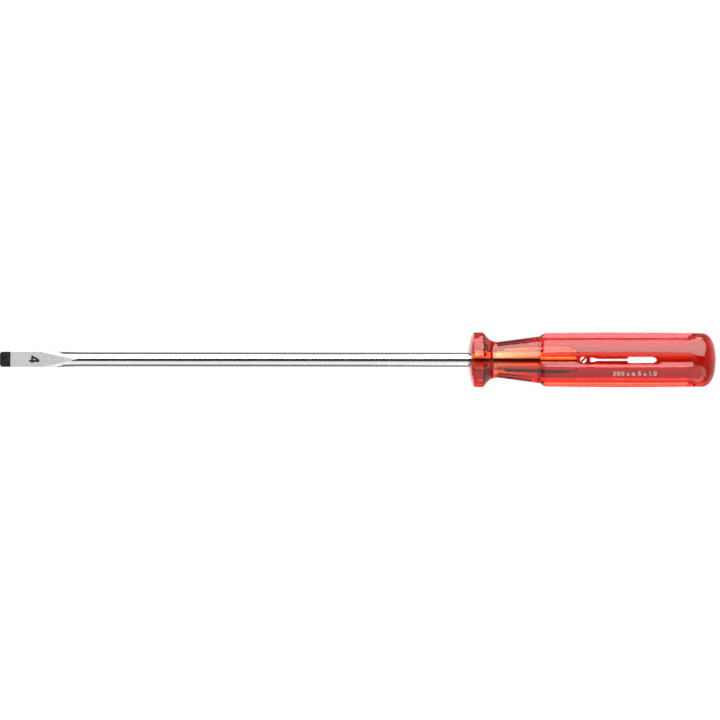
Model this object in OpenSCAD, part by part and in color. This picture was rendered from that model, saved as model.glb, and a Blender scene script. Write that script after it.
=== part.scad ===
// Slotted screwdriver with a long round blade and a moulded, transparent, six-sided handle.
//
// The tool lies on one flat of its handle: the blade points along -X, +Z is up and the
// origin is on the resting surface, under the middle of the tool's length.
// The sub-parts are drawn in the tool's own axes, where X is the distance from the tip,
// +Z is the direction that the marked face looks in, and Y runs across the blade's width.

/* [Blade] */
// Length of blade in front of the handle
blade_length = 200; // [160:5:250]
// Diameter of the round shank
shank_d = 6; // [5.6:0.1:6.4]
// Width of the ground tip
tip_width = 6.5; // [6:0.1:6.6]
// Thickness of the ground tip
tip_thickness = 1; // [0.8:0.1:1.4]
// Chamfer on the corners of the tip and round the end of the tang
tip_chamfer = 0.8; // [0.4:0.1:1]
// Widest part of the forged flare behind the tip
flare_width = 6.66; // [6.6:0.02:6.9]
// Distance from the tip at which the hollow grinding turns into the run-out
grind_length = 18.5; // [16:0.5:20]
// Distance from the tip at which the flats run out into the shank
flat_length = 33.4; // [31:0.2:36]

/* [Tang] */
// Depth of the blade inside the handle
tang_length = 47; // [44:1:60]
// Distance from the handle's face to the pressed wings
wing_start = 15.6; // [12:0.2:20]
// Length of the pressed wings at their foot
wing_length = 28.1; // [20:0.1:30]
// Span of the wings from edge to edge
wing_span = 7.7; // [7:0.1:9]
// Thickness of the wings at their foot
wing_thickness = 1.8; // [1.6:0.1:2.4]
// Thickness of the wings at their edge
wing_edge_thickness = 1.2; // [0.8:0.1:1.4]

/* [Handle] */
// Length of the handle
handle_length = 106.1; // [104:0.1:120]
// Distance between opposite flats of the collar and of the grip's fullest part
across_flats = 23.4; // [22.8:0.1:24]
// How far each flat of the grip falls away from its fullest part towards the ends
grip_crown = 0.25; // [0.1:0.05:0.4]
// Corner radius of a cross-section, as a ratio of its distance from axis to flat
corner_ratio = 1.04; // [1.02:0.01:1.06]
// Radius of the shallow dome that the blade comes out of
face_dome_r = 32; // [20:1:40]
// Radius at which the front dome meets the collar's chamfer
face_r = 9.5; // [8.5:0.1:10]
// Angle of the collar's front chamfer from the axis
collar_chamfer_angle = 66; // [55:1:75]
// Distance from the handle's face to the end of the collar's flats
collar_end = 6.5; // [5.5:0.1:7]
// Angle at which the collar falls to the neck
collar_slope = 50; // [40:1:55]
// Distance from axis to flat at the thinnest part of the neck
neck_flat = 7.7; // [7.2:0.05:8]
// Radius of the fillet between collar and neck
neck_fillet = 5.6; // [4:0.1:6]
// Angle at which the neck widens towards the grip
neck_taper = 7.7; // [7:0.1:8]
// Distance from the handle's face to the top of the grip's front shoulder
shoulder_top = 33.9; // [33:0.1:36]
// Radius of the shoulder
shoulder_r = 4; // [3.5:0.1:4.5]
// Length of the turned dome at the back end
end_dome_length = 8.2; // [6:0.1:9]

/* [Flutes] */
// Radius of the cutter that makes the finger flutes
flute_r = 5.7; // [5:0.1:6]
// Distance of a flute's bottom from the axis
flute_bottom = 10.6; // [10.5:0.05:11]
// Distance from the back end of the handle to the flutes' ball ends
flute_margin = 12.3; // [11:0.1:16]

/* [Marking] */
// Distance from the handle's face to the panel sunk into the facing flute
panel_start = 46.4; // [42:0.2:48]
// Length of the sunk panel
panel_length = 36; // [34:0.2:38]
// Height of the sunk panel
panel_height = 3.9; // [3.4:0.1:4]
// Depth of the panel below the bottom of the flute
panel_depth = 0.3; // [0.2:0.05:0.5]
// Height of the pictogram in the panel
pictogram_height = 2.7; // [2.4:0.1:3]
// Length of the pictogram in the panel
pictogram_length = 32.6; // [28:0.2:33]
// Width of the pictogram's lines
pictogram_line = 0.42; // [0.3:0.02:0.5]
// Height of the size figures on the land below the panel
size_height = 2.1; // [1.6:0.1:2.4]
// Distance from the handle's face to the first size figure
size_start = 61.8; // [56:0.2:64]
// Height of the size number on the blade
number_height = 4.4; // [3.6:0.1:5]
// Distance from the tip to the middle of the size number
number_place = 14.8; // [13:0.1:16]
// Depth to which foil and ink go into the surface
mark_depth = 0.08; // [0.05:0.01:0.15]
// How far foil and ink stand proud of the surface
mark_proud = 0.02; // [0.01:0.01:0.05]

/* [Hidden] */
$fn = 96;

hex_angles = [0, 60, 120];
flute_angles = [for (i = [0:5]) 60 * i];
arc_steps = 8;
skin_steps = 4;
slack = 1;

shank_r = shank_d / 2;
face_x = blade_length;
end_x = blade_length + handle_length;
flat_d = across_flats / 2;

// Handle stations, as distances from the tip
collar_front_x = face_x + face_dome_r - sqrt(face_dome_r * face_dome_r - face_r * face_r);
collar_end_x = face_x + collar_end;
fillet_start_d = neck_flat + neck_fillet * (1 - cos(collar_slope));
fillet_x = collar_end_x + (flat_d - fillet_start_d) / tan(collar_slope) + neck_fillet * sin(collar_slope);
neck_x = fillet_x + neck_fillet * sin(neck_taper);
shoulder_x = face_x + shoulder_top;
dome_x = end_x - end_dome_length;
grip_mid_x = (shoulder_x + dome_x) / 2;
grip_half = (dome_x - shoulder_x) / 2;
grip_end_d = flat_d - grip_crown;
shoulder_foot_d = neck_flat + (shoulder_x - 0.75 * shoulder_r - neck_x) * tan(neck_taper);
shoulder_sweep = acos((shoulder_foot_d - grip_end_d + shoulder_r) / shoulder_r);

// The end dome is a superellipse, a little squarer than an ellipse
dome_power = 2.55;
dome_steps = 20;
corner_end = corner_ratio * grip_end_d;

// The blade's flats: a hollow-ground curve from the tip, then a curve that runs out
tip_half = tip_thickness / 2;
runout_top = shank_r + 0.02;
grind_half = tip_half + 0.54 * (runout_top - tip_half);
flare_start_x = 0.97 * grind_length;
flare_end_x = 24;
flare_corner_r = 3.8;

// Figures are drawn to this cap height, stroke width and gap, then scaled
cap = 10;
stroke = 1.2;
bold_stroke = 2;
figure_gap = 2.4;
figure_steps = 12;
size_row = "200 x 6.5 x 1.0";

// ---------------------------------------------------------------- helpers

// Evenly spaced values, both ends included
function steps_between(from, to, steps) = [for (i = [0:steps]) from + (to - from) * i / steps];

// Points on an arc around [x, y]
function arc(x, y, r, from, to, steps = arc_steps) =
    [for (a = steps_between(from, to, steps)) [x + r * cos(a), y + r * sin(a)]];

// Distance of the grip's flats from the axis
function grip_flat(x) = flat_d - grip_crown * pow((x - grip_mid_x) / grip_half, 2);

// Radius of the end dome
function dome_radius(x) =
    corner_end * pow(1 - pow((x - dome_x) / end_dome_length, dome_power), 1 / dome_power);

// Half-thickness of the blade between its two ground flats
function blade_half(x) =
    x < grind_length
    ? tip_half + (grind_half - tip_half) * pow(x / grind_length, 2)
    : runout_top - (runout_top - grind_half) * pow((flat_length - x) / (flat_length - grind_length), 2);

// Moves a list of points by [0, by]
function raised(points, by) = [for (p = points) [p.x, p.y + by]];

// The same points from last to first
function reversed(points) = [for (i = [len(points) - 1:-1:0]) points[i]];

// A closed outline from an upper edge and its mirror image below the axis
function mirrored(points) = concat(points, [for (p = reversed(points)) [p.x, -p.y]]);

// From the tool's own axes to the resting place on one flat
module place_tool() {
    translate([-end_x / 2, 0, flat_d]) rotate([30, 0, 0]) children();
}

// Turns a profile of [x, radius] points about the tool's axis
module turned(profile) {
    rotate([90, 0, 90]) rotate_extrude() polygon([for (p = profile) [p.y, p.x]]);
}

// ---------------------------------------------------------------- handle

// Outline of the handle from collar to back end, at its flats
collar_to_neck = concat(
    [[collar_end_x, flat_d]],
    arc(fillet_x, neck_flat + neck_fillet, neck_fillet, 270 - collar_slope, 270 + neck_taper)
);
shoulder = arc(shoulder_x, grip_end_d - shoulder_r, shoulder_r, 90 + shoulder_sweep, 90);
grip_steps = 16;
grip = [for (x = steps_between(shoulder_x, dome_x, grip_steps))
    if (x > shoulder_x && x < dome_x) [x, grip_flat(x)]];
flat_outline = concat(
    [[face_x - slack, flat_d]],
    collar_to_neck,
    shoulder,
    grip,
    [[dome_x, grip_end_d], [end_x + slack, grip_end_d]]
);

// Outline of the turned blank, which rounds the corners, the front and the back end
front_face = [for (r = steps_between(0, face_r, arc_steps))
    [face_x + face_dome_r - sqrt(face_dome_r * face_dome_r - r * r), r]];
blank_collar_r = corner_ratio * flat_d;
blank_side = [for (p = concat(collar_to_neck, shoulder, grip)) [p.x, corner_ratio * p.y]];
end_dome = concat(
    [for (a = steps_between(0, 90 - 90 / dome_steps, dome_steps - 1))
        let (x = dome_x + end_dome_length * sin(a)) [x, dome_radius(x)]],
    [[end_x, 0]]
);
blank_outline = concat(
    front_face,
    [[collar_front_x + (blank_collar_r - face_r) / tan(collar_chamfer_angle), blank_collar_r]],
    blank_side,
    end_dome
);

// The space between one pair of opposite flats, which face +Y and -Y
module between_flats() {
    linear_extrude(height = 4 * flat_d, center = true) polygon(mirrored(flat_outline));
}

// One ball-ended finger flute along the facing side
module flute() {
    ball_x = end_x - flute_margin;
    open_x = shoulder_x - 2 * shoulder_r;
    translate([0, 0, flute_bottom + flute_r]) {
        translate([open_x, 0, 0]) rotate([0, 90, 0]) cylinder(r = flute_r, h = ball_x - open_x);
        translate([ball_x, 0, 0]) sphere(r = flute_r);
    }
}

// The sunk panel: round at the front, with cut corners at the back
module panel() {
    half = panel_height / 2;
    cut = 0.6 * half;
    start_x = face_x + panel_start;
    stop_x = start_x + panel_length;
    translate([0, 0, flute_bottom - panel_depth]) linear_extrude(height = 2 * flute_r) {
        translate([start_x + half, 0]) circle(r = half);
        polygon([
            [start_x + half, -half], [stop_x - cut, -half], [stop_x, -half + cut],
            [stop_x, half - cut], [stop_x - cut, half], [start_x + half, half]
        ]);
    }
}

// The solid handle before the blade and the foils go in
module handle_body() {
    difference() {
        intersection() {
            turned(blank_outline);
            intersection_for(a = hex_angles) rotate([a, 0, 0]) between_flats();
        }
        for (a = flute_angles) rotate([a, 0, 0]) flute();
        panel();
    }
}

module handle() {
    color([0.82, 0.06, 0.04, 0.6]) place_tool() difference() {
        handle_body();
        tang();
        wings();
        panel_marks();
        size_marks();
    }
}

// ---------------------------------------------------------------- blade

// The ground flats, as the space between them
flat_steps = 12;
flats_edge = concat(
    [[-slack, tip_half]],
    [for (x = steps_between(0, grind_length, flat_steps)) [x, blade_half(x)]],
    [for (x = steps_between(grind_length, flat_length, flat_steps)) if (x > grind_length) [x, blade_half(x)]],
    [[flat_length + slack, shank_r + slack], [end_x, shank_r + slack]]
);

module between_ground_flats() {
    rotate([90, 0, 0]) linear_extrude(height = 3 * tip_width, center = true) polygon(mirrored(flats_edge));
}

// The blade's outline seen from the marked side
blade_edge = [
    [0, tip_width / 2 - tip_chamfer],
    [tip_chamfer, tip_width / 2],
    [flare_start_x, tip_width / 2],
    [(flare_start_x + flare_end_x) / 2, flare_width / 2],
    [end_x, flare_width / 2]
];

// The forged blank: round in section, swelling towards the flare
forged_profile = [
    [0, 0],
    [0, flare_corner_r],
    [grind_length, flare_corner_r],
    [flare_end_x, flare_width / 2 + 0.01],
    [(flare_end_x + flat_length) / 2, (flare_width + shank_d) / 4 - 0.05],
    [flat_length + slack, shank_r],
    [face_x + tang_length - tip_chamfer, shank_r],
    [face_x + tang_length, shank_r - tip_chamfer],
    [face_x + tang_length, 0]
];

module shank() {
    intersection() {
        turned(forged_profile);
        linear_extrude(height = 2 * tip_width, center = true) polygon(mirrored(blade_edge));
        between_ground_flats();
    }
}

// The round end of the blade inside the handle
module tang() {
    end = face_x + tang_length;
    turned([
        [face_x - slack, 0], [face_x - slack, shank_r], [end - tip_chamfer, shank_r],
        [end, shank_r - tip_chamfer], [end, 0]
    ]);
}

// The pressed wings that stop the blade turning in the handle
module wings() {
    start_x = face_x + wing_start;
    stop_x = start_x + wing_length;
    slant = (wing_span - shank_d) / 2 + slack;
    foot_y = sqrt(shank_r * shank_r - wing_thickness * wing_thickness / 4);
    intersection() {
        linear_extrude(height = wing_thickness, center = true) polygon(mirrored([
            [start_x - slack, 0], [start_x - slack, shank_r - slack], [start_x - slack + slant, wing_span / 2],
            [stop_x + slack - slant, wing_span / 2], [stop_x + slack, shank_r - slack], [stop_x + slack, 0]
        ]));
        translate([start_x - slack, 0, 0]) rotate([90, 0, 90])
            linear_extrude(height = wing_length + 2 * slack) polygon(mirrored([
                [-wing_span / 2, wing_edge_thickness / 2], [-foot_y, wing_thickness / 2],
                [foot_y, wing_thickness / 2], [wing_span / 2, wing_edge_thickness / 2]
            ]));
    }
}

module blade() {
    color([0.8, 0.8, 0.82]) place_tool() difference() {
        union() {
            shank();
            wings();
        }
        number_mark();
    }
}

// ---------------------------------------------------------------- figures

// A straight stroke
module line(from, to, width = stroke) {
    run = to - from;
    translate(from) rotate(atan2(run.y, run.x)) translate([0, -width / 2]) square([norm(run), width]);
}

// A curved stroke
module bow(centre, r, from, to, width = stroke) {
    polygon(concat(
        arc(centre.x, centre.y, r + width / 2, from, to, figure_steps),
        arc(centre.x, centre.y, r - width / 2, to, from, figure_steps)
    ));
}

module figure_0() {
    r = 2.25;
    bow([3, cap - 3], r, 0, 180);
    bow([3, 3], r, 180, 360);
    for (x = [3 - r, 3 + r]) line([x, 3], [x, cap - 3]);
}

module figure_1() {
    line([2.5, 0], [2.5, cap]);
    line([0.3, cap - 2.6], [2.5, cap - 0.9]);
}

module figure_2() {
    bow([3, cap - 3], 2.25, -32, 175);
    line([0.4, stroke / 2], [4.9, 6]);
    line([0, stroke / 2], [6, stroke / 2]);
}

module figure_4() {
    line([5.2, 0], [5.2, cap], bold_stroke);
    line([0, 3], [7.2, 3], bold_stroke);
    line([0.6, 2.6], [4.9, cap - 0.4], bold_stroke);
}

module figure_5() {
    bow([2.8, 3.1], 2.35, -150, 125);
    line([0.8, cap - stroke / 2], [5.6, cap - stroke / 2]);
    line([1.3, 4.6], [1.3, cap - 0.2]);
}

module figure_6() {
    translate([3, 3]) difference() {
        circle(r = 3);
        circle(r = 3 - stroke);
    }
    bow([6, 3], 5.25, 118, 178);
}

module figure_x() {
    line([0.3, 0.6], [4.7, 6]);
    line([0.3, 6], [4.7, 0.6]);
}

module figure_dot() {
    square([stroke, stroke]);
}

module figure(c) {
    if (c == "0") figure_0();
    if (c == "1") figure_1();
    if (c == "2") figure_2();
    if (c == "4") figure_4();
    if (c == "5") figure_5();
    if (c == "6") figure_6();
    if (c == "x") figure_x();
    if (c == ".") figure_dot();
}

function figure_width(c) =
    c == "." ? stroke : c == "1" ? 3.2 : c == "x" ? 5 : c == " " ? 0.8 : c == "4" ? 7.2 : 6;

// Where the figure with this index starts in its row
function figure_start(row, index) =
    index == 0 ? 0 : figure_start(row, index - 1) + figure_width(row[index - 1]) + figure_gap;

// A row of figures, its left foot at the origin
module figures(row, height) {
    scale(height / cap) for (i = [0:len(row) - 1]) translate([figure_start(row, i), 0]) figure(row[i]);
}

// Plain sign for a slotted drive: a screw head, and a driver pointing at it
module pictogram() {
    half = pictogram_height / 2;
    wide = half - pictogram_line;
    tip_x = pictogram_height + 1.6;
    grip_x = 0.62 * pictogram_length;
    difference() {
        translate([half, 0]) circle(r = half);
        translate([half, 0]) rotate(45) square([2 * half + slack, 2 * pictogram_line], center = true);
    }
    polygon(mirrored([
        [tip_x, wide], [tip_x + wide, wide], [tip_x + 4 * wide, pictogram_line],
        [grip_x, pictogram_line], [grip_x, wide], [grip_x + half - wide, half],
        [pictogram_length - half, half], [pictogram_length, pictogram_line]
    ]));
}

// ---------------------------------------------------------------- markings

// A thin skin over a surface: the surface's points, from mark_depth below to mark_proud above
module skin(surface) {
    rotate([90, 0, 0]) linear_extrude(height = 2 * tip_width, center = true)
        polygon(concat(raised(surface, mark_proud), reversed(raised(surface, -mark_depth))));
}

// The pictogram in the sunk panel
module panel_marks() {
    translate([face_x + panel_start + 1.4, 0, flute_bottom - panel_depth - mark_depth])
        linear_extrude(height = mark_depth + mark_proud) pictogram();
}

// The size figures on the land below the panel, which faces 30 degrees down from it
module size_marks() {
    row_length = figure_start(size_row, len(size_row)) * size_height / cap;
    start_x = face_x + size_start;
    stop_x = start_x + row_length;
    land = [for (x = steps_between(start_x - slack, stop_x + slack, skin_steps)) [x, grip_flat(x)]];
    rotate([30, 0, 0]) intersection() {
        translate([start_x, -size_height / 2, shank_r]) linear_extrude(height = flat_d)
            figures(size_row, size_height);
        skin(land);
    }
}

// The size number on the ground flat, its head towards the handle
module number_mark() {
    width = number_height * figure_width("4") / cap;
    start_x = number_place - number_height / 2;
    stop_x = start_x + number_height;
    ground = [for (x = steps_between(start_x - slack, stop_x + slack, skin_steps)) [x, blade_half(x)]];
    intersection() {
        translate([start_x, width / 2, 0]) linear_extrude(height = shank_r) rotate(-90)
            figures("4", number_height);
        skin(ground);
    }
}

module panel_foil() {
    color([0.97, 0.95, 0.94]) place_tool() panel_marks();
}

module size_foil() {
    color([0.97, 0.95, 0.94]) place_tool() size_marks();
}

module blade_number() {
    color([0.05, 0.05, 0.05]) place_tool() number_mark();
}

handle();
blade();
panel_foil();
size_foil();
blade_number();
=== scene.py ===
"""Looks of the slotted screwdriver: a transparent red handle moulded on a chromed blade.

Shapes are worked out in millimetres in the tool's own axes: s runs along the tool from its tip,
an angle of 0 faces the marked side, and across is the direction of the blade's width.
"""

import math

import bmesh
import bpy
from mathutils import Matrix, Quaternion, Vector


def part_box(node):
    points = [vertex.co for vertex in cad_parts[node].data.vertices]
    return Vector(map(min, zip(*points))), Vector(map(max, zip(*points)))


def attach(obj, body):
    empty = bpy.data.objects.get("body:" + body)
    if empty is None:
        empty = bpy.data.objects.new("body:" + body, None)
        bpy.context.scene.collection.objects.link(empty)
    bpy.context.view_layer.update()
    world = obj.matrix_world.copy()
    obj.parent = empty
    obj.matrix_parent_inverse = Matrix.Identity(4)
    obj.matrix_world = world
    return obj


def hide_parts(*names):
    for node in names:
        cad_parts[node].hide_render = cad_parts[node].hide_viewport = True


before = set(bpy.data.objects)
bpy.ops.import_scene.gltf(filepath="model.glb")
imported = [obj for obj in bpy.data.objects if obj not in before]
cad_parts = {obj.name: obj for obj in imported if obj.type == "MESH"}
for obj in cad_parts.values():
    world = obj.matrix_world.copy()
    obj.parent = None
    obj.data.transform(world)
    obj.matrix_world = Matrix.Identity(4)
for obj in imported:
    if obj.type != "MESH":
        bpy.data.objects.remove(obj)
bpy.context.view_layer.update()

# ---------------------------------------------------------------- the tool's place in the frame

MM = 0.001
TURN = math.radians(30)  # the tool lies on one of its six flats, so its marked side leans forward

handle_low, handle_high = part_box("handle")
blade_low, blade_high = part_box("blade")
tip_x = blade_low.x
axis_z = (handle_low.z + handle_high.z) / 2

# Tool axes to row frame: millimetres (s, across, facing) to metres (x, y, z)
TO_ROW = Matrix.Translation((tip_x, 0, axis_z)) @ Matrix.Rotation(TURN, 4, "X") @ Matrix.Scale(MM, 4)

# ---------------------------------------------------------------- driving dimensions, mm

FACE_S = (handle_low.x - tip_x) / MM
END_S = (handle_high.x - tip_x) / MM
TANG_END_S = (blade_high.x - tip_x) / MM
FLAT = (handle_high.z - handle_low.z) / 2 / MM

# Handle
CORNER_RATIO = 1.04
FACE_DOME_R = 32.0
FACE_R = 9.5
COLLAR_CHAMFER = math.radians(66)
COLLAR_END = 6.5
COLLAR_SLOPE = math.radians(50)
NECK_FLAT = 7.7
NECK_FILLET = 5.6
NECK_TAPER = math.radians(7.7)
SHOULDER_TOP = 33.9
SHOULDER_R = 4.0
GRIP_CROWN = 0.25  # how much lower the flats are at the grip's ends than in its middle
END_DOME = 8.2
DOME_POWER = 2.55
FLUTE_R = 5.7
FLUTE_BOTTOM = 10.6
FLUTE_MARGIN = 12.3  # from the centre of a flute's ball end to the back end
EDGE_SOFT = 0.3  # how far an edge along the handle is rounded
RING_SOFT = 0.45  # how far an edge round the handle is cut back on each side
FACE_POLE_R = 0.4  # radius of the first ring round the axis

# Sunk marking panel
PANEL_START = 46.4
PANEL_LENGTH = 36.0
PANEL_HALF = 1.95
PANEL_DEPTH = 0.3
PANEL_WALL = 0.14
PANEL_CORNER = 0.6 * PANEL_HALF  # what the cut corners at the back leave of the half width
COS_NEAR_PANEL = 0.9  # cosine of an angle past the panel's sides and short of the next flute

# Blade
TIP_HALF_WIDTH = 3.25
TIP_HALF_THICK = 0.5
TIP_CHAMFER = 0.8
FLARE_HALF = 3.33
SHANK_R = 3.0
GRIND_LENGTH = 18.5
GRIND_PART = 0.54  # how far towards the bar's radius the hollow grind gets before it turns outwards
FLAT_LENGTH = 33.4
FLARE_START = 16.65
FLARE_END = 24.0
WEDGE_START = 17.7  # where the ground flats begin to narrow
FORGED_SPREAD = 0.375  # how much the forging adds to the bar's half width
FORGED_SPREAD_START = 19.0  # where that starts to fade
FORGED_SPREAD_END = 36.4
FORGED_FLATTENING = 1.7  # how much larger than the half width the forged curve's radius is
FORGED_FLATTENING_START = 19.7  # where that starts to fade
FORGED_FLATTENING_END = 28.0
EDGE_BREAK = 0.02  # the least distance between two edges of the section
CUT_END_SCALE = 0.98  # size of the section at the very tip, against the one just behind it
BLADE_SHARP = math.radians(16)  # edges sharper than this are shown sharp
FLAT_SLACK = 0.05  # how far below the ground flats a face still counts as part of them
BLACK_LENGTH = 4.6
WING_HALF_SPAN = 3.85
WING_ROOT_HALF = 0.9
WING_EDGE_HALF = 0.6
WING_START = 15.6
WING_LENGTH = 28.1
WING_SINK = 0.2  # how far the wings' slanted ends start inside the bar


# ---------------------------------------------------------------- small maths


def spaced(start, stop, count):
    """count + 1 evenly spaced values with both ends."""
    return [start + (stop - start) * i / count for i in range(count + 1)]


def arc(centre_s, centre_r, radius, start, stop, count):
    """Points (s, r) on an arc; the angles are in radians."""
    angles = spaced(start, stop, count)
    return [(centre_s + radius * math.cos(a), centre_r + radius * math.sin(a)) for a in angles]


def soft_min(a, b, width):
    """The smaller value, with the corner between the two rounded over width."""
    near = max(width - abs(a - b), 0) / width
    return min(a, b) - near * near * width / 4


def smooth_step(low, high, value):
    """0 below low, 1 above high, and an even curve between."""
    t = min(max((value - low) / (high - low), 0), 1)
    return t * t * (3 - 2 * t)


def softened(path, reach, turn=math.radians(12), count=4):
    """The path with a small curve in place of each corner sharper than turn, reach to either side of it."""
    made = [path[0]]
    for before, corner, after in zip(path, path[1:], path[2:]):
        into = Vector(corner) - Vector(before)
        out = Vector(after) - Vector(corner)
        if into.angle(out) < turn:
            made.append(corner)
            continue
        start = Vector(corner) - into.normalized() * min(reach, into.length / 2)
        stop = Vector(corner) + out.normalized() * min(reach, out.length / 2)
        for t in spaced(0, 1, count):
            made.append(tuple(start * (1 - t) ** 2 + Vector(corner) * 2 * t * (1 - t) + stop * t * t))
    made.append(path[-1])
    return made


# ---------------------------------------------------------------- the handle's shape

collar_end_s = FACE_S + COLLAR_END
collar_flat_s = collar_end_s - 1  # the collar's flats stay level up to here, although its face closes in
shoulder_s = FACE_S + SHOULDER_TOP
dome_s = END_S - END_DOME
grip_mid_s = (shoulder_s + dome_s) / 2
grip_half = (dome_s - shoulder_s) / 2
grip_end_flat = FLAT - GRIP_CROWN
ball_s = END_S - FLUTE_MARGIN
panel_start_s = FACE_S + PANEL_START
panel_end_s = panel_start_s + PANEL_LENGTH


def face_curve():
    """The shallow dome at the front, from the axis to the chamfer."""
    radii = spaced(FACE_POLE_R, FACE_R, 14)
    return [(FACE_S + FACE_DOME_R - math.sqrt(FACE_DOME_R ** 2 - r * r), r) for r in radii]


def neck_curve():
    """Flat distances from the collar's end through the fillet to the foot of the shoulder."""
    fillet_drop = NECK_FILLET * (1 - math.cos(COLLAR_SLOPE))
    fall = (FLAT - NECK_FLAT - fillet_drop) / math.tan(COLLAR_SLOPE)
    fillet_s = collar_end_s + fall + NECK_FILLET * math.sin(COLLAR_SLOPE)
    bottom = -math.pi / 2
    start, stop = bottom - COLLAR_SLOPE, bottom + NECK_TAPER
    fillet = arc(fillet_s, NECK_FLAT + NECK_FILLET, NECK_FILLET, start, stop, 22)
    foot_s = shoulder_s - 0.75 * SHOULDER_R
    foot_flat = NECK_FLAT + (foot_s - fillet[-1][0]) * math.tan(NECK_TAPER)
    sweep = math.acos((foot_flat - grip_end_flat + SHOULDER_R) / SHOULDER_R)
    shoulder = arc(shoulder_s, grip_end_flat - SHOULDER_R, SHOULDER_R, math.pi / 2 + sweep, math.pi / 2, 16)
    start, stop = Vector(fillet[-1]), Vector(shoulder[0])
    taper = [tuple(start.lerp(stop, t)) for t in spaced(0, 1, 16)[1:-1]]
    return [(collar_end_s, FLAT)] + fillet + taper + shoulder


def grip_stations():
    """Stations along the grip, close together at the panel's ends and at the flutes' ball ends."""
    stations = spaced(shoulder_s, panel_start_s - 0.2, 12)
    stations += spaced(panel_start_s - 0.1, panel_start_s + PANEL_HALF + 0.2, 22)
    stations += spaced(panel_start_s + PANEL_HALF + 1, panel_end_s - PANEL_HALF - 0.3, 22)
    stations += spaced(panel_end_s - PANEL_HALF, panel_end_s + 0.15, 21)
    stations += spaced(panel_end_s + 1, ball_s - 0.5, 8)
    stations += spaced(ball_s, dome_s, 26)
    return stations[1:-1]


def grip_flat(s):
    """Distance from the axis to a flat of the grip, which is fullest in the middle."""
    return FLAT - GRIP_CROWN * ((s - grip_mid_s) / grip_half) ** 2


def end_curve():
    """The superellipse at the back end, as corner radii."""
    made = []
    for angle in spaced(0, math.pi / 2, 34)[:-1]:
        part = math.sin(angle)
        radius = CORNER_RATIO * grip_end_flat * (1 - part ** DOME_POWER) ** (1 / DOME_POWER)
        made.append((dome_s + END_DOME * part, radius))
    return made


def handle_rings():
    """Pairs (s, corner radius) from the front to the back of the handle."""
    corner = CORNER_RATIO * FLAT
    front = face_curve()
    front.append((front[-1][0] + (corner - FACE_R) / math.tan(COLLAR_CHAMFER), corner))
    flats = neck_curve() + [(s, grip_flat(s)) for s in grip_stations()]
    body = [(s, CORNER_RATIO * flat) for s, flat in flats]
    return softened(front + body + end_curve(), RING_SOFT)


def flat_distance(s, corner_radius):
    """How far the six flats are from the axis at a ring."""
    if s < collar_flat_s:
        return FLAT
    if s < dome_s:
        return corner_radius / CORNER_RATIO
    return grip_end_flat


def flute_distance(s, angle):
    """Where a ray from the axis meets the flute's ball-ended cutter, or None where it misses."""
    past = max(s - ball_s, 0)
    if past >= FLUTE_R:
        return None
    section = math.sqrt(FLUTE_R ** 2 - past ** 2)
    centre = FLUTE_BOTTOM + FLUTE_R
    side = centre * math.sin(angle)
    if abs(side) >= section:
        return None
    return centre * math.cos(angle) - math.sqrt(section ** 2 - side ** 2)


def panel_inside(s, across):
    """How far a point is inside the sunk panel's outline: round at the front, cut corners at the back."""
    across = abs(across)
    if s < panel_start_s + PANEL_HALF:
        return PANEL_HALF - math.hypot(s - panel_start_s - PANEL_HALF, across)
    cut = (panel_end_s - s + PANEL_HALF - across - PANEL_CORNER) / math.sqrt(2)
    return min(PANEL_HALF - across, panel_end_s - s, cut)


def handle_radius(s, corner_radius, angle):
    """Distance from the axis to the handle's surface, at a ring and an angle from the marked side."""
    sixth = math.radians(60)
    from_corner = (angle + sixth / 2) % sixth - sixth / 2
    from_flat = sixth / 2 - abs(from_corner)
    radius = soft_min(corner_radius, flat_distance(s, corner_radius) / math.cos(from_flat), EDGE_SOFT)
    flute = flute_distance(s, from_corner)
    if flute is not None and s > shoulder_s - 2 * SHOULDER_R:
        radius = soft_min(radius, flute, EDGE_SOFT)
    if math.cos(angle) > COS_NEAR_PANEL:
        floor = (FLUTE_BOTTOM - PANEL_DEPTH) / math.cos(angle)
        inside = panel_inside(s, radius * math.sin(angle))
        sunk = smooth_step(-PANEL_WALL / 2, PANEL_WALL / 2, inside)
        radius += min(floor - radius, 0) * sunk
    return radius


def flute_edge(s):
    """The angle in degrees from the middle of a flute to its edge on the flats beside it."""
    flat = min(max(grip_flat(s), grip_end_flat), FLAT)
    centre = FLUTE_BOTTOM + FLUTE_R
    to_flat = math.radians(30)
    cut = math.sqrt(FLUTE_R ** 2 - (centre * math.cos(to_flat) - flat) ** 2)
    return 30 + math.degrees(math.atan2(cut - centre * math.sin(to_flat), flat))


def ring_angles(s):
    """Angles round a ring in radians, close together at the panel's sides and the flutes' edges."""
    flute_side, panel_side, band = 12, 8.5, 1.4
    edge = flute_edge(s)
    rim = spaced(flute_side, edge - band, 4)[:-1]
    rim += spaced(edge - band, edge + band, 16)[:-1]
    rim += spaced(edge + band, 30, 9)
    plain = spaced(0, flute_side, 12)[:-1] + rim
    facing = spaced(0, panel_side, 17)[:-1] + spaced(panel_side, flute_side, 28)[:-1] + rim
    angles = []
    for corner in range(6):
        side = plain if corner else facing
        angles += [60 * corner + a for a in side[:-1]] + [60 * corner - a for a in side[1:]]
    return sorted(math.radians(a % 360) for a in angles)


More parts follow.
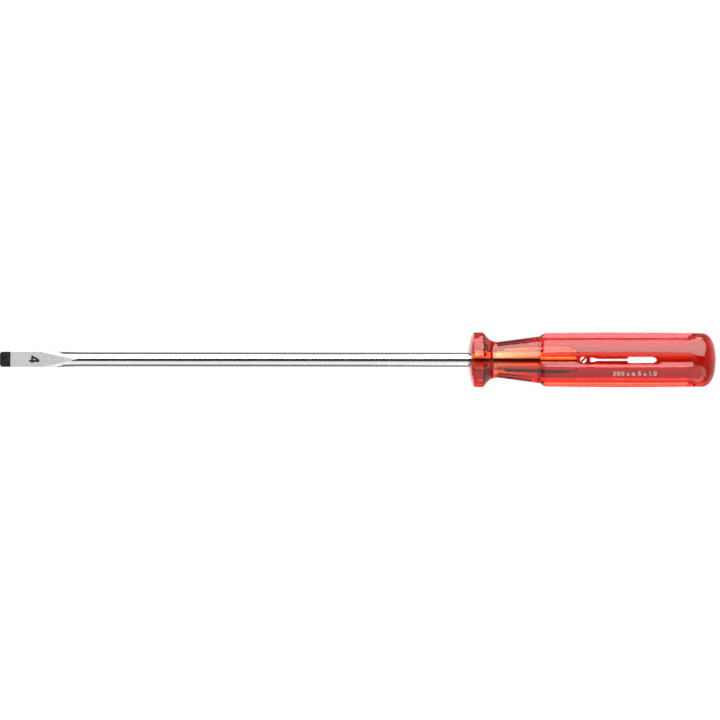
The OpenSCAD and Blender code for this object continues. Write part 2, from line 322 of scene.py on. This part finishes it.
def grid_mesh(name, rings, first_pole, last_pole):
    """A closed mesh from rings of equal count and the two points that close its ends."""
    mesh = bmesh.new()
    rows = [[mesh.verts.new(TO_ROW @ Vector(p)) for p in ring] for ring in rings]
    count = len(rows[0])
    for near, far in zip(rows, rows[1:]):
        for i in range(count):
            mesh.faces.new((near[i], near[(i + 1) % count], far[(i + 1) % count], far[i]))
    for row, pole, order in ((rows[0], first_pole, -1), (rows[-1], last_pole, 1)):
        centre = mesh.verts.new(TO_ROW @ Vector(pole))
        for i in range(count):
            mesh.faces.new((centre, row[i], row[(i + 1) % count])[::order])
    bmesh.ops.remove_doubles(mesh, verts=mesh.verts, dist=1e-6)
    bmesh.ops.recalc_face_normals(mesh, faces=mesh.faces)
    data = bpy.data.meshes.new(name)
    mesh.to_mesh(data)
    mesh.free()
    data.shade_smooth()
    piece = bpy.data.objects.new(name, data)
    bpy.context.scene.collection.objects.link(piece)
    return piece


def make_handle():
    """The handle, as rings from its face to the middle of its end."""
    rings = []
    for s, corner_radius in handle_rings():
        angles = ring_angles(s)
        radii = [handle_radius(s, corner_radius, a) for a in angles]
        rings.append([(s, r * math.sin(a), r * math.cos(a)) for r, a in zip(radii, angles)])
    return grid_mesh("handle_moulding", rings, (FACE_S, 0, 0), (END_S, 0, 0))


# ---------------------------------------------------------------- the blade's shape


def blade_half_thick(s):
    """Half the thickness between the ground flats: hollow ground, then running out into the shank."""
    turn_half = TIP_HALF_THICK + GRIND_PART * (SHANK_R - TIP_HALF_THICK)
    if s < GRIND_LENGTH:
        return TIP_HALF_THICK + (turn_half - TIP_HALF_THICK) * (s / GRIND_LENGTH) ** 2
    if s < FLAT_LENGTH:
        left = (FLAT_LENGTH - s) / (FLAT_LENGTH - GRIND_LENGTH)
        return SHANK_R - (SHANK_R - turn_half) * left ** 2
    return SHANK_R


def blade_half_width(s):
    """Half the width: ground at the tip, forged wider behind it, and then the drawn bar's radius."""
    flare = (FLARE_HALF - TIP_HALF_WIDTH) * smooth_step(FLARE_START, FLARE_END, s)
    ground = TIP_HALF_WIDTH + flare - max(TIP_CHAMFER - s, 0)
    spread = FORGED_SPREAD * (1 - smooth_step(FORGED_SPREAD_START, FORGED_SPREAD_END, s))
    bar = SHANK_R + spread - max(s - TANG_END_S + TIP_CHAMFER, 0)
    return min(ground, bar)


def forged_radius(s):
    """Radius of the curve over the forged part, which is flattened near the tip and round at the bar."""
    fade = smooth_step(FORGED_FLATTENING_START, FORGED_FLATTENING_END, s)
    return blade_half_width(s) + FORGED_FLATTENING * (1 - fade)


def flat_half_width(s):
    """Half the width of the ground flats, which run out to a point."""
    left = max((FLAT_LENGTH - s) / (FLAT_LENGTH - WEDGE_START), 0)
    return min(left * FLARE_HALF, blade_half_width(s) - EDGE_BREAK)


def wing_half_span(s):
    """Half the span of the pressed wings: slanted at both ends, and nothing elsewhere."""
    start = FACE_S + WING_START
    depth = min(s - start, start + WING_LENGTH - s)
    return min(SHANK_R - WING_SINK + depth, WING_HALF_SPAN) if depth > 0 else 0


def blade_quarter(s):
    """Points (across, facing) of a quarter of the blade's section, from its flat round to its side."""
    width, radius, flat_edge = blade_half_width(s), forged_radius(s), flat_half_width(s)
    thick = min(blade_half_thick(s), radius)
    centre = math.sqrt(radius ** 2 - flat_edge ** 2) - thick  # how far below the axis the curve's centre is
    side_z = max(math.sqrt(max(radius ** 2 - width ** 2, 0)) - centre, 0)
    if thick > WING_ROOT_HALF:
        side_z = min(max(side_z, WING_ROOT_HALF), thick - EDGE_BREAK)
    side_y = math.sqrt(radius ** 2 - (side_z + centre) ** 2)
    start, stop = math.atan2(flat_edge, thick + centre), math.atan2(side_y, side_z + centre)
    points = [(flat_edge * t, thick) for t in spaced(0, 1, 6)[:-1]]
    points += [(radius * math.sin(a), radius * math.cos(a) - centre) for a in spaced(start, stop, 12)]
    span = wing_half_span(s)
    out = max(span - side_y, 0) / (WING_HALF_SPAN - side_y)
    edge_z = side_z - (WING_ROOT_HALF - WING_EDGE_HALF) * out
    for t in spaced(1, 0, 6):
        z = side_z * t
        side = min(math.sqrt(radius ** 2 - (z + centre) ** 2), width)
        points.append((side, z) if span < side else (span, edge_z * t))
    return points


def blade_section(s):
    """The whole section, from one quarter mirrored twice."""
    quarter = blade_quarter(s)
    half = quarter + [(y, -z) for y, z in reversed(quarter[:-1])]
    return half + [(-y, z) for y, z in reversed(half[1:-1])]


def blade_stations():
    """Stations along the blade, close together where its section changes."""
    start = FACE_S + WING_START
    stop = start + WING_LENGTH
    slant = WING_HALF_SPAN - SHANK_R + WING_SINK
    stations = [0, 0.04, TIP_CHAMFER] + spaced(1, BLACK_LENGTH, 6)
    stations += spaced(BLACK_LENGTH, GRIND_LENGTH - 3, 24)
    stations += spaced(GRIND_LENGTH - 3, FLAT_LENGTH + 3, 84)
    stations += spaced(FLAT_LENGTH + 8, FACE_S, 12)
    stations += spaced(start - 0.01, start + slant, 5)
    stations += spaced(stop - slant, stop + 0.01, 5)
    return sorted(set(stations + [start - 2, TANG_END_S - TIP_CHAMFER, TANG_END_S]))


def make_blade(chrome, ground, black):
    """The blade with its three finishes, and a sharp edge wherever two of them meet."""
    rings = []
    for s in blade_stations():
        shrink = CUT_END_SCALE if s == 0 else 1
        rings.append([(s, y * shrink, z * shrink) for y, z in blade_section(s)])
    piece = grid_mesh("blade_bar", rings, (0, 0, 0), (TANG_END_S, 0, 0))
    for material in (chrome, ground, black):
        piece.data.materials.append(material)
    into_tool = TO_ROW.inverted()
    finishes = {}
    for face in piece.data.polygons:
        s, across, facing = into_tool @ face.center
        if s < BLACK_LENGTH:
            face.material_index = 2
        elif abs(across) < flat_half_width(s) and abs(facing) > blade_half_thick(s) - FLAT_SLACK:
            face.material_index = 1
        for edge in face.edge_keys:
            finishes.setdefault(edge, set()).add(face.material_index)
    piece.data.set_sharp_from_angle(angle=BLADE_SHARP)
    for edge in piece.data.edges:
        if len(finishes[edge.key]) > 1:
            edge.use_edge_sharp = True
    return piece


# ---------------------------------------------------------------- materials


class Nodes:
    """Short ways to add and join shader nodes in one new material."""

    def __init__(self, name):
        self.material = bpy.data.materials.new(name)
        self.material.use_nodes = True
        self.tree = self.material.node_tree
        self.shader = self.tree.nodes["Principled BSDF"]
        self.output = self.tree.nodes["Material Output"]

    def add(self, kind, values=None, **settings):
        """A new node with these input values and settings."""
        node = self.tree.nodes.new(kind)
        for name, value in settings.items():
            setattr(node, name, value)
        for name, value in (values or {}).items():
            node.inputs[name].default_value = value
        return node

    def join(self, source, target):
        """Links an output to an input."""
        self.tree.links.new(source, target)

    def set(self, **values):
        """Sets inputs of the shader, whose names have underscores here in place of spaces."""
        for name, value in values.items():
            self.shader.inputs[name.replace("_", " ")].default_value = value

    def place(self, scale=(1, 1, 1), turn=0.0):
        """Object coordinates times scale, along the tool's own axes when turn is TURN."""
        coordinates = self.add("ShaderNodeTexCoord")
        mapping = self.add("ShaderNodeMapping")
        mapping.inputs["Rotation"].default_value = (-turn, 0, 0)
        mapping.inputs["Scale"].default_value = scale
        self.join(coordinates.outputs["Object"], mapping.inputs["Vector"])
        return mapping.outputs["Vector"]

    def noise(self, where, scale, detail=4.0, roughness=0.55):
        """A noise value around 0.5 at each place."""
        node = self.add("ShaderNodeTexNoise", {"Scale": scale, "Detail": detail, "Roughness": roughness})
        self.join(where, node.inputs["Vector"])
        return node.outputs["Fac"]

    def ranged(self, value, low, high, from_low=0.3, from_high=0.7):
        """A value, mostly between from_low and from_high, spread over low to high."""
        limits = {"From Min": from_low, "From Max": from_high, "To Min": low, "To Max": high}
        node = self.add("ShaderNodeMapRange", limits)
        self.join(value, node.inputs["Value"])
        return node.outputs["Result"]

    def colour(self, value, low, high):
        """A colour between low and high, chosen by a value from 0 to 1."""
        node = self.add("ShaderNodeMix", data_type="RGBA")
        node.inputs["A"].default_value = (*low, 1)
        node.inputs["B"].default_value = (*high, 1)
        self.join(value, node.inputs["Factor"])
        return node.outputs["Result"]

    def bump(self, heights, distance):
        """Chains one bump for each (height, strength) pair and ends at the shader's normal."""
        normal = None
        for height, strength in heights:
            node = self.add("ShaderNodeBump", {"Strength": strength, "Distance": distance})
            self.join(height, node.inputs["Height"])
            if normal is not None:
                self.join(normal, node.inputs["Normal"])
            normal = node.outputs["Normal"]
        self.join(normal, self.shader.inputs["Normal"])


def red_plastic():
    """Clear cellulose plastic, dyed red: light is filtered by the length of its way through."""
    m = Nodes("red_clear_plastic")
    m.set(Base_Color=(1.0, 0.96, 0.95, 1), IOR=1.475, Transmission_Weight=1.0)
    handled = m.noise(m.place(), scale=90)
    m.join(m.ranged(handled, 0.0, 0.006), m.shader.inputs["Roughness"])
    scratches = m.noise(m.place((60, 700, 700), TURN), scale=6, detail=2)
    m.bump([(scratches, 0.003)], distance=0.0004)
    dye = m.add("ShaderNodeVolumeAbsorption", {"Color": (0.966, 0.38, 0.02, 1), "Density": 300.0})
    m.join(dye.outputs["Volume"], m.output.inputs["Volume"])
    return m.material


def chrome_plate():
    """Polished plating over a drawn bar: faint lines along the bar and slight clouding."""
    m = Nodes("chrome_plate")
    m.set(Metallic=1.0, Specular_Tint=(0.3, 0.3, 0.3, 1))
    lines = m.noise(m.place((12, 900, 900), TURN), scale=5, detail=3)
    clouds = m.noise(m.place(), scale=140)
    m.join(m.colour(clouds, (0.54, 0.54, 0.55), (0.61, 0.61, 0.62)), m.shader.inputs["Base Color"])
    m.join(m.ranged(clouds, 0.07, 0.13), m.shader.inputs["Roughness"])
    m.bump([(lines, 0.015)], distance=0.0001)
    return m.material


def ground_steel():
    """The flats, duller than the plating, with the wheel's fine marks across the blade."""
    m = Nodes("ground_steel")
    m.set(Metallic=1.0)
    marks = m.noise(m.place((900, 14, 14), TURN), scale=6, detail=3)
    clouds = m.noise(m.place(), scale=220)
    m.join(m.colour(marks, (0.41, 0.41, 0.42), (0.45, 0.45, 0.46)), m.shader.inputs["Base Color"])
    m.join(m.ranged(clouds, 0.52, 0.60), m.shader.inputs["Roughness"])
    m.bump([(marks, 0.12)], distance=0.0001)
    return m.material


def black_oxide():
    """The blackened tip: dark, a little cloudy, with rubbed spots."""
    m = Nodes("black_oxide")
    m.set(Metallic=0.3, Specular_IOR_Level=0.15)
    clouds = m.noise(m.place(), scale=420, detail=6)
    marks = m.noise(m.place((900, 14, 14), TURN), scale=6, detail=3)
    m.join(m.colour(clouds, (0.006, 0.006, 0.007), (0.022, 0.021, 0.02)), m.shader.inputs["Base Color"])
    m.join(m.ranged(clouds, 0.32, 0.5), m.shader.inputs["Roughness"])
    m.bump([(marks, 0.15), (clouds, 0.1)], distance=0.0001)
    return m.material


def white_foil():
    """Hot-stamped foil: white with a touch of the red below it, and a dry, grainy face."""
    m = Nodes("white_foil")
    grain = m.noise(m.place(), scale=2600, detail=3)
    m.join(m.colour(grain, (0.62, 0.56, 0.55), (0.70, 0.67, 0.66)), m.shader.inputs["Base Color"])
    m.join(m.ranged(grain, 0.35, 0.55), m.shader.inputs["Roughness"])
    m.bump([(grain, 0.2)], distance=0.00004)
    return m.material


def black_mark():
    """Black marking on the blade's flat."""
    m = Nodes("black_mark")
    m.set(Specular_IOR_Level=0.08)
    grain = m.noise(m.place(), scale=2200, detail=3)
    m.join(m.colour(grain, (0.008, 0.008, 0.008), (0.03, 0.03, 0.03)), m.shader.inputs["Base Color"])
    m.join(m.ranged(grain, 0.45, 0.65), m.shader.inputs["Roughness"])
    m.bump([(grain, 0.2)], distance=0.00004)
    return m.material


def pale_floor():
    """The pale floor that the camera sees, with a light of its own so that it takes hardly any shadow."""
    m = Nodes("pale_floor")
    mottle = m.noise(m.place(), scale=9)
    m.join(m.colour(mottle, (0.05, 0.05, 0.05), (0.06, 0.06, 0.06)), m.shader.inputs["Base Color"])
    m.set(Roughness=0.9, Specular_IOR_Level=0.1)
    m.set(Emission_Color=(1, 1, 1, 1), Emission_Strength=1.1)
    return m.material


def table_paper():
    """The floor as it is seen through the clear handle: grey paper, shaded by the tool."""
    m = Nodes("table_paper")
    mottle = m.noise(m.place(), scale=9)
    m.join(m.colour(mottle, (0.48, 0.48, 0.48), (0.50, 0.50, 0.50)), m.shader.inputs["Base Color"])
    m.set(Roughness=0.9, Specular_IOR_Level=0.1)
    return m.material


def dark_cloth():
    """The cloth behind the camera, which gives polished surfaces something dark to show."""
    m = Nodes("dark_cloth")
    weave = m.noise(m.place(), scale=30)
    m.join(m.colour(weave, (0.13, 0.13, 0.13), (0.17, 0.17, 0.17)), m.shader.inputs["Base Color"])
    m.set(Roughness=1.0, Specular_IOR_Level=0.0)
    return m.material


# ---------------------------------------------------------------- pieces


def paint(node, material):
    """Gives a CAD node that stays as it is its finished material."""
    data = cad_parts[node].data
    data.materials.clear()
    data.materials.append(material)


handle = make_handle()
handle.data.materials.append(red_plastic())
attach(handle, "root")
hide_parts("handle")

blade = make_blade(chrome_plate(), ground_steel(), black_oxide())
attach(blade, "root")
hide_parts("blade")

foil = white_foil()
paint("panel_foil", foil)
paint("size_foil", foil)
paint("blade_number", black_mark())

# ---------------------------------------------------------------- stage, light and camera

FACING_UP = math.radians(60)  # the marked side looks this far above the horizon, towards -Y
FLOOR_SIZE = 30.0
ROOM_LIGHT = 0.1
ROOM_SEEN = {"Is Camera Ray": 1.2, "Is Glossy Ray": 0.38, "Is Transmission Ray": 0.15}
CLOTH_DISTANCE = 5.0
CLOTH_WIDTH = 6.0
CLOTH_HEIGHT = 2 * CLOTH_DISTANCE * math.tan(math.radians(21))
CLOTH_ANGLE = -4
LIGHT_BOUNCES = 20  # enough for light to leave the clear handle after many turns inside
GLOSSY_BOUNCES = 8
CAMERA_DISTANCE = 2.6
FRAME_WIDTH = 0.30793
CAMERA_SIDE = 0.001  # the camera stands a little towards the handle's end
CAMERA_DROP = 0.00016  # and a little below the tool's axis, with a slight roll
CAMERA_ROLL = math.radians(0.06)


def direction(angle):
    """The direction at an angle from the camera's, turned up the picture (degrees)."""
    rise = FACING_UP + math.radians(angle)
    return Vector((0, -math.cos(rise), math.sin(rise)))


def aim(thing, place):
    """Puts a light, camera or card at place, looking at the tool."""
    thing.location = place
    thing.rotation_mode = "QUATERNION"
    thing.rotation_quaternion = (Vector((0, 0, axis_z)) - place).to_track_quat("-Z", "Y")


def card(name, width, height, material):
    """A flat stage piece, centred on its origin."""
    mesh = bmesh.new()
    stretch = Matrix.Diagonal((width, height, 1, 1))
    bmesh.ops.create_grid(mesh, x_segments=2, y_segments=2, size=0.5, matrix=stretch)
    data = bpy.data.meshes.new(name)
    mesh.to_mesh(data)
    mesh.free()
    data.materials.append(material)
    thing = bpy.data.objects.new(name, data)
    bpy.context.scene.collection.objects.link(thing)
    return thing


def softbox(name, angle, distance, width, height, radiance, shift_x=0.0, hidden_from=()):
    """A rectangular light seen at an angle from the camera's direction, and not by some kinds of ray."""
    data = bpy.data.lights.new(name, "AREA")
    data.shape = "RECTANGLE"
    data.size = width
    data.size_y = height
    data.energy = radiance * math.pi * width * height
    light = bpy.data.objects.new(name, data)
    bpy.context.scene.collection.objects.link(light)
    aim(light, direction(angle) * distance + Vector((shift_x, 0, axis_z)))
    hide(light, ("camera", *hidden_from))


def hide(thing, rays):
    """Makes a light or card invisible to some kinds of ray."""
    for ray in rays:
        setattr(thing, "visible_" + ray, False)


def make_cards():
    """The floor twice, once for the camera and once for the clear handle, and the cloth."""
    floor = card("floor", FLOOR_SIZE, FLOOR_SIZE, pale_floor())
    hide(floor, ("glossy", "diffuse", "transmission", "shadow"))
    paper = card("paper", FLOOR_SIZE, FLOOR_SIZE, table_paper())
    hide(paper, ("camera", "glossy"))
    cloth = card("dark_cloth", CLOTH_WIDTH, CLOTH_HEIGHT, dark_cloth())
    aim(cloth, direction(CLOTH_ANGLE) * CLOTH_DISTANCE + Vector((0, 0, axis_z)))
    hide(cloth, ("camera", "diffuse", "shadow"))


def make_lights():
    """Softboxes all round the tool. Only reflections pass through the floor to those below it."""
    softbox("upper_softbox", angle=50.5, distance=3.2, width=5.0, height=4.15, radiance=5.7)
    softbox("lower_softbox", angle=-60, distance=3.2, width=4.0, height=3.45, radiance=1.08)
    softbox("back_softbox", angle=97, distance=3.2, width=1.0, height=1.5, radiance=4.5, shift_x=0.6,
            hidden_from=("diffuse",))
    softbox("front_softbox", angle=-84, distance=3.2, width=1.0, height=2.2, radiance=2.0, shift_x=0.6,
            hidden_from=("diffuse",))
    softbox("glow_softbox", angle=60, distance=3.2, width=0.24, height=0.9, radiance=36.0, shift_x=0.27,
            hidden_from=("glossy", "diffuse"))
    softbox("end_softbox", angle=-60, distance=3.1, width=1.0, height=1.0, radiance=1.8, shift_x=0.9)
    softbox("right_softbox", angle=180, distance=1.6, width=3.4, height=4.0, radiance=0.4, shift_x=2.4)
    softbox("left_softbox", angle=180, distance=2.9, width=1.6, height=4.0, radiance=1.0, shift_x=-1.4)


def make_world():
    """An even white room, of which polished and clear surfaces show only a little."""
    world = bpy.data.worlds.new("studio")
    world.use_nodes = True
    tree = world.node_tree
    background = tree.nodes["Background"]
    background.inputs["Color"].default_value = (1, 1, 1, 1)
    path = tree.nodes.new("ShaderNodeLightPath")
    strength = background.inputs["Strength"]
    for ray, level in reversed(ROOM_SEEN.items()):
        mix = tree.nodes.new("ShaderNodeMix")
        mix.inputs["A"].default_value = ROOM_LIGHT
        mix.inputs["B"].default_value = level
        tree.links.new(path.outputs[ray], mix.inputs["Factor"])
        tree.links.new(mix.outputs["Result"], strength)
        strength = mix.inputs["A"]
    bpy.context.scene.world = world


def make_camera():
    """A camera far enough away to see the tool almost without perspective, as the marked side faces it."""
    data = bpy.data.cameras.new("camera")
    data.lens = data.sensor_width * CAMERA_DISTANCE / FRAME_WIDTH
    data.clip_start = 0.1
    data.clip_end = 50
    camera = bpy.data.objects.new("camera", data)
    bpy.context.scene.collection.objects.link(camera)
    aim(camera, direction(0) * CAMERA_DISTANCE + Vector((0, 0, axis_z)))
    camera.location += Vector((CAMERA_SIDE, 0, 0)) - CAMERA_DROP * direction(90)
    camera.rotation_quaternion @= Quaternion((0, 0, 1), CAMERA_ROLL)
    bpy.context.scene.camera = camera


make_cards()
make_lights()
make_world()
make_camera()
scene = bpy.context.scene
scene.view_settings.view_transform = "Standard"
scene.cycles.max_bounces = LIGHT_BOUNCES
scene.cycles.transmission_bounces = LIGHT_BOUNCES
scene.cycles.glossy_bounces = GLOSSY_BOUNCES

bpy.context.view_layer.update()
